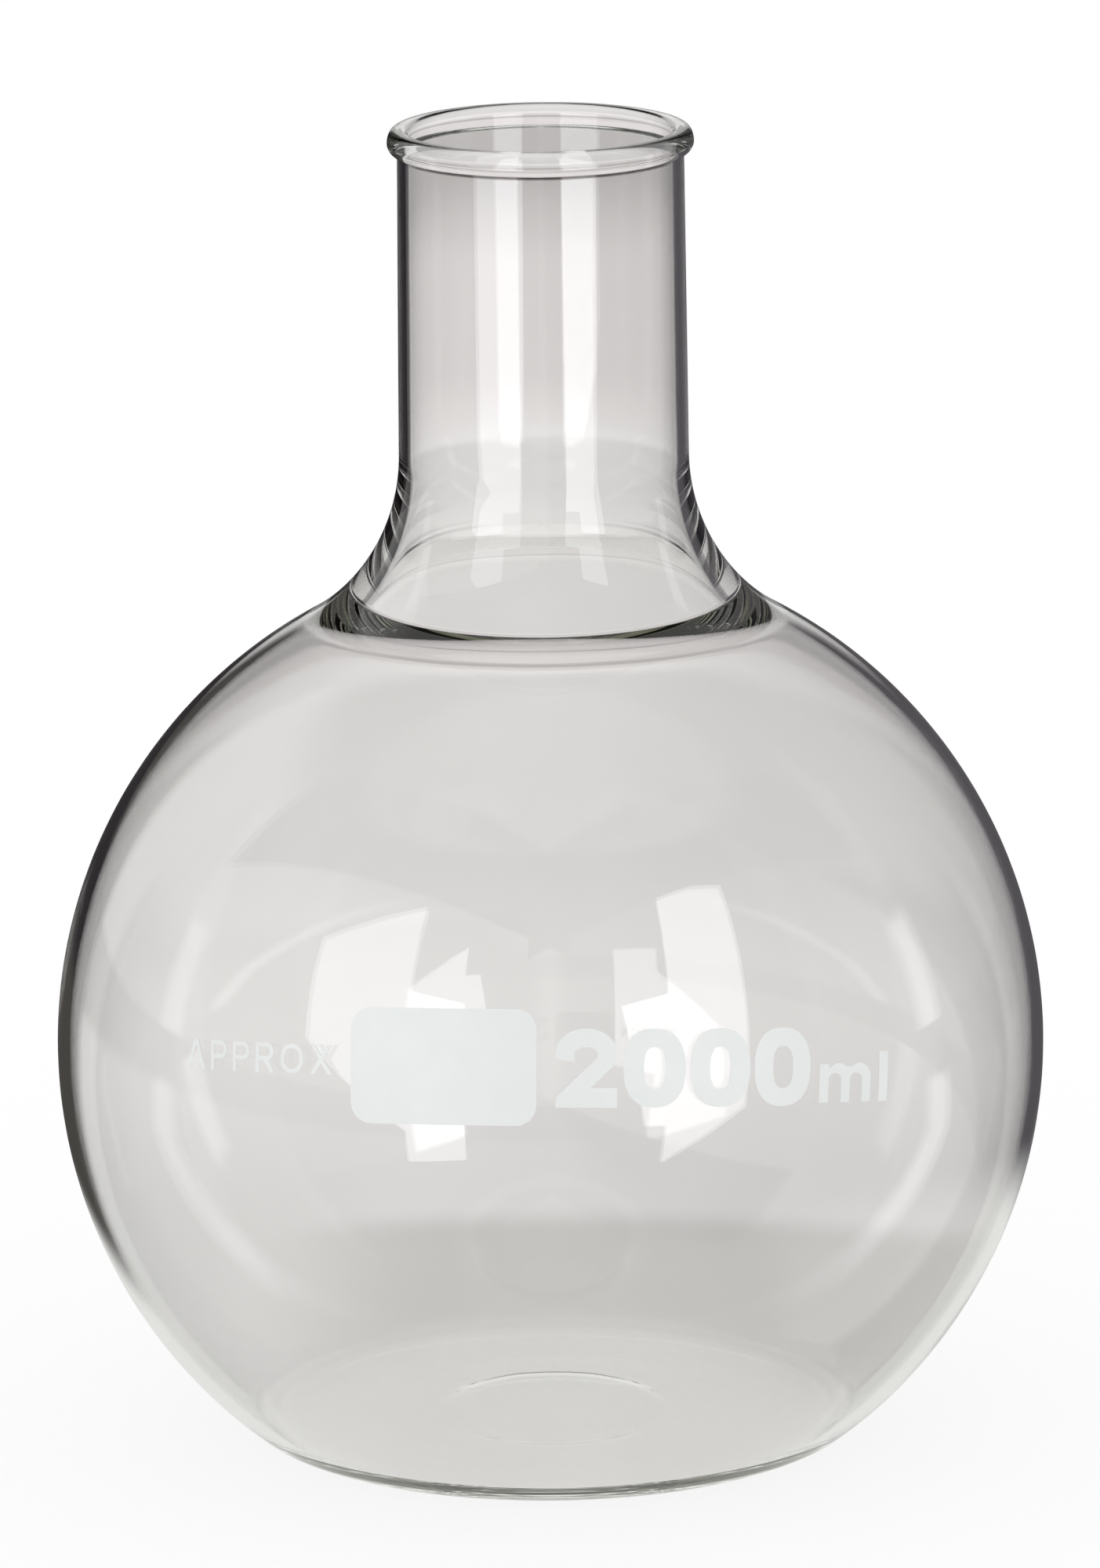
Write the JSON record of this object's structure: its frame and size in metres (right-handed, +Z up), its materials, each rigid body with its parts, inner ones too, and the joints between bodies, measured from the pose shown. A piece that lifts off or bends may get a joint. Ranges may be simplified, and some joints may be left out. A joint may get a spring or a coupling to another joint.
{
  "type": "flat-bottom boiling flask",
  "caption": "Clear glass boiling flask with a spherical bulb, a flat pushed-up base, a straight narrow neck with a rolled rim, and white enamel capacity marks.",
  "frame": {"origin": "on the resting plane, under the middle of the flat base", "axes": "+Z up along the neck and bulb axis, out of the mouth; -Y is the printed front; +X is to the right when facing the print"},
  "size_m": [0.166, 0.1662, 0.223],
  "materials": {
    "clear_glass": "clear fire-polished borosilicate glass",
    "white_enamel": "fired white ceramic enamel, semi-matt"
  },
  "bodies": {
    "root": {"flask_body": "clear_glass", "writing_panel": "white_enamel", "digit_2": "white_enamel", "digit_0_left": "white_enamel", "digit_0_middle": "white_enamel", "digit_0_right": "white_enamel", "unit_m": "white_enamel", "unit_l": "white_enamel", "word_a": "white_enamel", "word_p_left": "white_enamel", "word_p_right": "white_enamel", "word_r": "white_enamel", "word_o": "white_enamel", "word_x": "white_enamel"}
  },
  "joints": []
}
